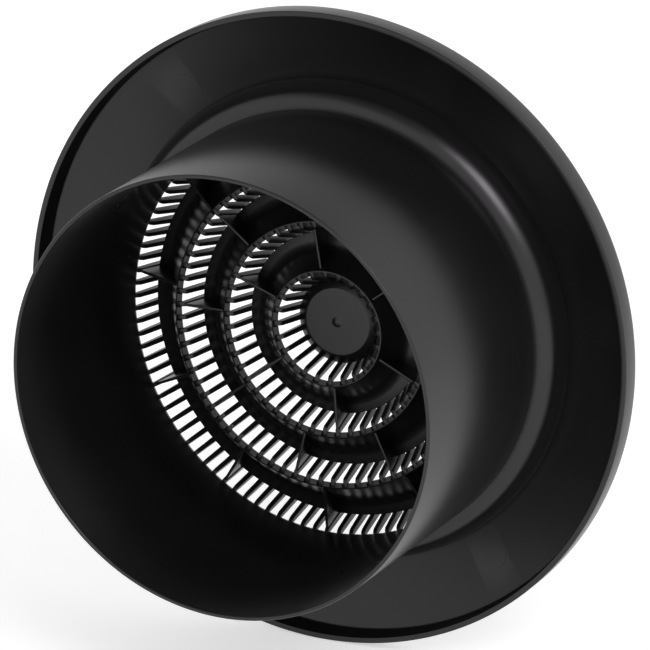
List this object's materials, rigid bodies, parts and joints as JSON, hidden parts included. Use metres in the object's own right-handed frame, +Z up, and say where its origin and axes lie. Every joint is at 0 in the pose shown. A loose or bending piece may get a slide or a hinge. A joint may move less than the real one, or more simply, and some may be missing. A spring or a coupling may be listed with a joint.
{
  "type": "round vent grille",
  "caption": "Round black moulded plastic vent grille with rings of radial louvre slots in a dished face, a flange with a turned-back rim and a plain duct spigot behind",
  "frame": {"origin": "centre of the duct axis in the wall plane, which is the plane of the flange rim's rear edge", "axes": "+Y along the duct, into the wall; the louvred face looks towards -Y; +Z up; +X to the left seen from the back"},
  "size_m": [0.1818, 0.0764, 0.1818],
  "materials": {
    "black_moulded_plastic": "moulded, lightly textured, soft sheen"
  },
  "bodies": {
    "root": {"vent_grille": "black_moulded_plastic"}
  },
  "joints": []
}
